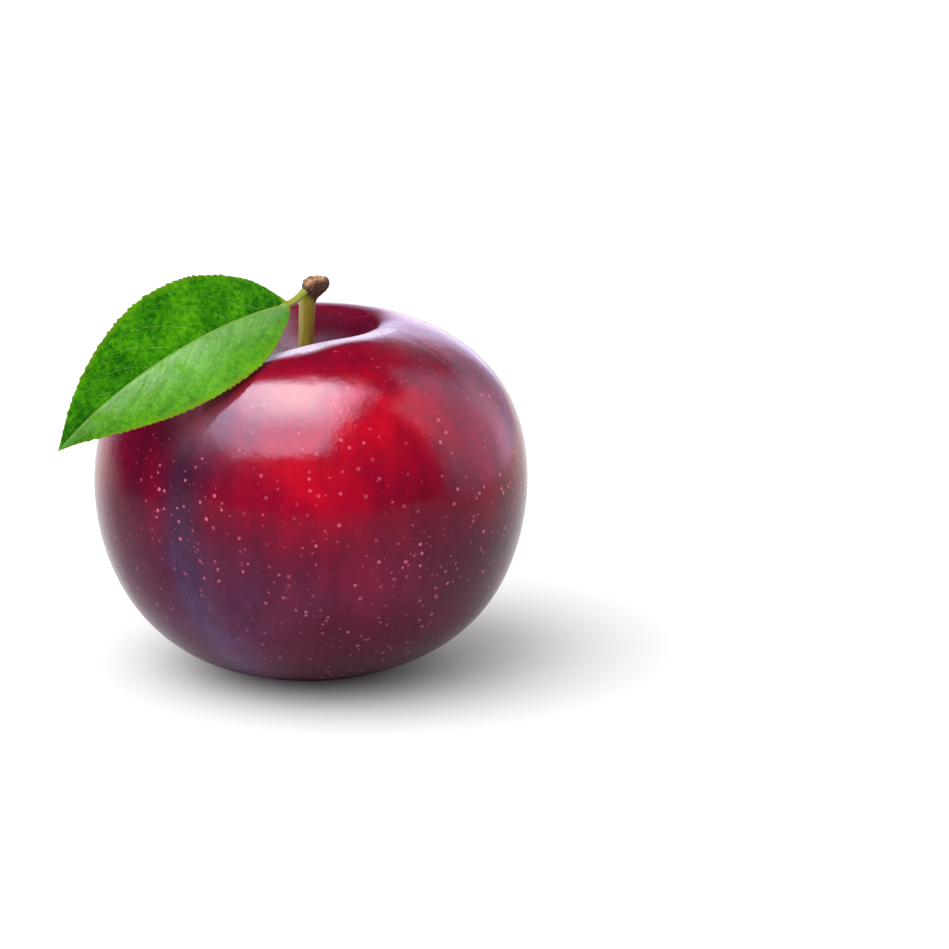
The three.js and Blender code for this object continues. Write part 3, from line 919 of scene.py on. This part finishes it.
class LeafSurface(Surface):
    """The leaf's material. Its patterns lie flat: along the leaf, and out from the midrib."""

    def __init__(self):
        super().__init__("leaf_waxy_green")
        self.along_leaf, self.out = self.field("leaf_t"), self.field("out")
        self.near_half, self.underside = self.field("near_half"), self.field("underside")
        self.blade, self.reach = self.field("blade"), self.field("reach")
        self.far_half = self.minus(1.0, self.near_half)
        self.side = self.times(self.reach, self.by_half(-MM, MM))
        self.flat = self.combine(self.times(self.along_leaf, LEAF_LENGTH * MM), self.side, 0.0)
        self.fine = self.noise(self.flat, 0.8, detail=3.0, roughness=0.6)
        self.grain = self.noise(self.flat, 0.26, detail=2.0, roughness=0.6)
        self.add_veins()
        self.add_painted_sheen()

    def by_half(self, far, near):
        return self.remap(self.near_half, 0.0, 1.0, far, near)

    def add_veins(self):
        """Side veins run forward from the midrib; the finer net lies between them."""
        sweep = self.times(self.math("POWER", self.out, 1.2), VEIN_SWEEP)
        warp = self.remap(self.noise(self.flat, 5.0, detail=2.0), 0.0, 1.0, -0.20, 0.20)
        phase = self.times(self.minus(self.along_leaf, sweep), VEIN_PAIRS)
        self.phase = self.plus(phase, self.times(self.near_half, -0.5), warp)
        self.off_vein = self.math("PINGPONG", self.phase, 0.5)
        width = self.remap(self.out, 0.0, 1.0, 0.042, 0.020)
        line = self.remap(self.math("DIVIDE", self.off_vein, width), 1.0, 0.2)
        broken = self.remap(self.noise(self.flat, 2.2, detail=3.0), 0.40, 0.60, 0.05, 1.0)
        self.side_vein = self.times(line, self.blade, self.remap(self.out, 0.97, 0.60), broken)
        coarse = self.cells(self.flat, 1.3, "DISTANCE_TO_EDGE").outputs["Distance"]
        small = self.cells(self.flat, 0.55, "DISTANCE_TO_EDGE").outputs["Distance"]
        net = self.math("MAXIMUM", self.remap(coarse, 0.08, 0.01),
                        self.times(self.remap(small, 0.12, 0.02), 0.6))
        self.net = self.times(net, self.blade)

    def add_painted_sheen(self):
        """The near half's painted sheen, a painted reflection of the studio's light, hatched along
        its side veins and broken up by blotches.
        """
        hatched = self.combine(self.times(self.phase, 7.0 * MM), self.times(self.side, 0.30), 0.0)
        self.hatching = self.noise(hatched, 1.1, detail=4.0, roughness=0.7)
        worn = self.noise(self.flat, 4.2, detail=3.0, roughness=0.6)
        self.blotches = self.remap(worn, 0.52, 0.66)
        sheen = self.times(
            self.remap(self.out, self.remap(self.along_leaf, 0.12, 0.28, 1.0, 0.76), 0.02),
            self.remap(self.hatching, 0.34, 0.66, 0.45, 1.15),
            self.minus(1.0, self.times(self.blotches, 0.85)),
            self.remap(self.along_leaf, 0.95, 0.75, 0.45, 1.0),
            self.remap(self.grain, 0.30, 0.70, 0.70, 1.25),
            self.near_half)
        self.sheen = self.times(sheen, self.blade, clamp=True)

    def ground(self):
        """The blade's green, deeper on the far half by the stalk, the tip and each side vein."""
        patches = self.noise(self.flat, 6.0, detail=3.0, roughness=0.6)
        tone = self.plus(self.times(patches, 0.50), self.times(self.fine, 0.50),
                         self.remap(self.grain, 0.25, 0.75, -0.045, 0.055))
        by_midrib = self.times(self.remap(self.reach, 3.0, 0.5),
                               self.remap(self.along_leaf, 0.34, 0.12))
        deep = self.plus(self.remap(self.along_leaf, 0.40, 0.06, 0.018, 0.050),
                         self.times(self.remap(self.along_leaf, 0.62, 0.85), 0.035),
                         self.times(by_midrib, 0.060),
                         self.times(self.remap(self.off_vein, 0.16, 0.03), 0.022))
        green = self.ramp(self.minus(tone, self.times(self.far_half, deep)), *LEAF_GREEN)
        return self.mix(self.times(self.near_half, 0.14), green, LEAF_NEAR_HALF)

    def colour(self):
        colour = self.ground()
        yellow = self.times(self.blotches, self.near_half, 0.45)
        colour = self.mix(yellow, colour, LEAF_YELLOWED)
        # Painted sheen: a painted reflection of the studio's light on the near half.
        colour = self.mix(self.times(self.sheen, 0.70), colour, LEAF_PAINTED_SHEEN)
        colour = self.mix(self.times(self.net, 0.14), colour, LEAF_NET)
        vein = self.mix(self.near_half, VEIN_FAR_HALF, VEIN_NEAR_HALF)
        colour = self.mix(self.times(self.side_vein, self.by_half(0.52, 0.45)), colour, vein)
        midrib = self.remap(self.reach, self.remap(self.along_leaf, 0.0, 1.0, 0.24, 0.11), 0.04)
        midrib_colour = self.mix(self.remap(self.along_leaf, 0.0, 0.18), MIDRIB_BASE, MIDRIB_TIP)
        colour = self.mix(self.times(midrib, 0.80), colour, midrib_colour)
        colour = self.mix(self.remap(self.blade, 0.9, 0.1), colour, PETIOLE_GREEN)
        rim = self.remap(self.out, 0.86, 0.985, 0.0, self.by_half(0.25, 0.55))
        colour = self.mix(self.times(rim, self.blade), colour, LEAF_RIM)
        burnt = self.remap(self.noise(self.flat, 1.4, detail=2.0), 0.42, 0.58)
        edge = self.times(self.remap(self.out, 0.970, 0.995), self.times(burnt, self.blade))
        colour = self.mix(self.times(edge, 0.8), colour, BURNT_TOOTH)
        return self.mix(self.times(self.underside, 0.6), colour, LEAF_UNDERSIDE)

    def relief(self):
        pads = self.cells(self.flat, 1.1, "SMOOTH_F1").outputs["Distance"]
        height = self.minus(self.times(self.fine, 0.8), self.times(self.net, 0.18))
        height = self.minus(height, self.times(self.side_vein, 0.5))
        height = self.minus(height, self.times(pads, 0.9))
        height = self.plus(height, self.times(self.hatching, self.near_half, 0.9))
        return self.bump(height, 0.10, 0.6)

    def shine(self):
        gloss = self.plus(self.times(self.far_half, 0.02), self.times(self.near_half, 0.10),
                          self.times(self.sheen, 0.22))
        from_widest = self.math("ABSOLUTE", self.minus(self.along_leaf, 0.30))
        return self.times(self.remap(from_widest, 0.05, 0.17, 0.60, 1.0), gloss)


def leaf_material():
    s = LeafSurface()
    roughness = s.plus(s.times(s.fine, 0.12), 0.36, s.times(s.underside, 0.25))
    return s.finish(Base_Color=s.colour(), Roughness=roughness, Normal=s.relief(), IOR=1.45,
                    Specular_IOR_Level=s.shine())


def floor_material():
    s = Surface("studio_floor_white")
    grain = s.noise(s.object_coordinates, 6.0, detail=2.0)
    low, high = (tuple(channel + change for channel in FLOOR_ALBEDO) for change in (-0.01, 0.01))
    colour = s.ramp(grain, (0.0, low), (1.0, high))
    return s.finish(Base_Color=colour, Roughness=0.9, Specular_IOR_Level=0.0)


# ---------------------------------------------------------------- studio

def camera_axes():
    azimuth, elevation = math.radians(CAMERA_AZIMUTH), math.radians(CAMERA_ELEVATION)
    right = Vector((math.cos(azimuth), math.sin(azimuth), 0.0))
    back = Vector((math.sin(azimuth) * math.cos(elevation),
                   -math.cos(azimuth) * math.cos(elevation), math.sin(elevation)))
    return right, back.cross(right), back


def add_camera():
    right, up, back = camera_axes()
    centre = IMAGE_PIXELS / 2
    aside = (centre - REST_SPOT_PIXEL[0]) / PIXELS_PER_MM
    above = (REST_SPOT_PIXEL[1] - centre) / PIXELS_PER_MM
    data = bpy.data.cameras.new("camera")
    data.sensor_width = SENSOR_WIDTH
    data.lens = PIXELS_PER_MM * CAMERA_DISTANCE * SENSOR_WIDTH / IMAGE_PIXELS
    camera = bpy.data.objects.new("camera", data)
    turned = Matrix((right, up, back)).transposed().to_4x4()
    turned.translation = (back * CAMERA_DISTANCE + right * aside + up * above) * MM
    camera.matrix_world = turned
    bpy.context.scene.collection.objects.link(camera)
    bpy.context.scene.camera = camera


def studio_shapes(s, to_right, to_front, up):
    """The bright shapes that only reflections show: their masks and radiances, overhead first.

    across and ahead place a direction on a ceiling one unit up, from above the fruit.
    """
    ceiling = s.math("MAXIMUM", up, 0.05)
    across = s.math("DIVIDE", to_right, ceiling)
    ahead = s.math("DIVIDE", to_front, ceiling)

    def window(value, low, low_end, high, high_end):
        return s.times(s.remap(value, low, low_end), s.remap(value, high_end, high))

    lifted = s.remap(up, 0.10, 0.35)
    slanted = s.plus(across, s.times(ahead, 0.12))
    back_line = s.minus(ahead, s.remap(across, -0.5, -0.1, 0.0, 0.22))
    back_edge = s.remap(back_line, -0.39, -0.19)
    overhead = s.times(window(across, -0.90, -0.10, -0.08, 0.38), s.remap(ahead, 0.90, 0.20),
                       back_edge, lifted)
    softbox = s.times(s.times(s.remap(across, -1.95, -0.60), s.remap(slanted, 0.52, 0.24)),
                      s.times(back_edge, s.remap(ahead, 1.90, 1.35)), lifted)
    bearing = s.math("ARCTAN2", to_right, to_front)
    side_panel = s.times(window(bearing, 1.15, 1.45, 2.20, 2.60), s.remap(up, 0.88, 0.80))
    backdrop = s.times(s.remap(to_front, -0.45, -0.75), s.remap(up, 0.58, 0.43))
    sideways = s.math("DIVIDE", to_right, s.math("MINIMUM", to_front, -0.05))
    glow = s.times(backdrop, window(sideways, -0.40, -0.20, 0.20, 0.40))
    return ((overhead, OVERHEAD_RADIANCE), (softbox, SOFTBOX_RADIANCE),
            (side_panel, SIDE_PANEL_RADIANCE), (backdrop, BACKDROP_RADIANCE), (glow, BACKDROP_GLOW))


def add_world():
    """Soft light from all round for the surfaces, and the studio's shapes for reflections."""
    world = bpy.data.worlds.new("studio_air")
    bpy.context.scene.world = world
    world.use_nodes = True
    s = NodeDesk(world.node_tree)
    sky = s.coordinates["Generated"]
    azimuth = math.radians(CAMERA_AZIMUTH)
    to_right = s.dot(sky, (math.cos(azimuth), math.sin(azimuth), 0.0))
    to_front = s.dot(sky, (math.sin(azimuth), -math.cos(azimuth), 0.0))
    shapes = studio_shapes(s, to_right, to_front, s.parts(sky)[2])
    seen = s.plus(0.0, *(s.times(mask, radiance) for mask, radiance in shapes))
    key = s.remap(s.dot(sky, KEY_DIRECTION), 0.60, 0.95, 0.0, KEY_RADIANCE)
    soft = s.plus(AMBIENT_RADIANCE, key)
    path = s.nodes.new("ShaderNodeLightPath").outputs
    strength = s.between(path["Is Glossy Ray"], soft, seen)
    strength = s.between(path["Is Camera Ray"], strength, WHITE_RADIANCE)
    tint = s.mix(shapes[0][0], REFLECTION_TINT, OVERHEAD_TINT)
    background = s.nodes["Background"]
    s.put(background.inputs["Strength"], strength)
    s.put(background.inputs["Color"], s.mix(path["Is Glossy Ray"], (1.0, 1.0, 1.0), tint))


def add_floor():
    azimuth = math.radians(CAMERA_AZIMUTH)
    right = np.array([math.cos(azimuth), math.sin(azimuth), 0.0])
    front = np.array([math.sin(azimuth), -math.cos(azimuth), 0.0])
    corners = [right * across + front * ahead for across, ahead in (
        (-FLOOR_TO_SIDES, FLOOR_TO_FRONT), (FLOOR_TO_SIDES, FLOOR_TO_FRONT),
        (FLOOR_TO_SIDES, -FLOOR_TO_BACK), (-FLOOR_TO_SIDES, -FLOOR_TO_BACK))]
    floor = build_mesh("floor", np.array(corners), [(0, 1, 2, 3)])
    floor.data.materials.append(floor_material())


def add_studio():
    add_world()
    add_floor()
    bpy.context.scene.view_settings.view_transform = "Standard"


# ---------------------------------------------------------------- assembly

def dress(piece, node, material):
    piece.data.materials.append(material)
    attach(piece, "root")
    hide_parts(node)


add_camera()
dress(make_fruit(), "fruit", fruit_skin_material())
dress(make_stalk(), "stalk", stalk_material())
dress(make_woody_stub(), "woody_tip", woody_stub_material())
dress(make_leaf(), "leaf", leaf_material())
add_studio()
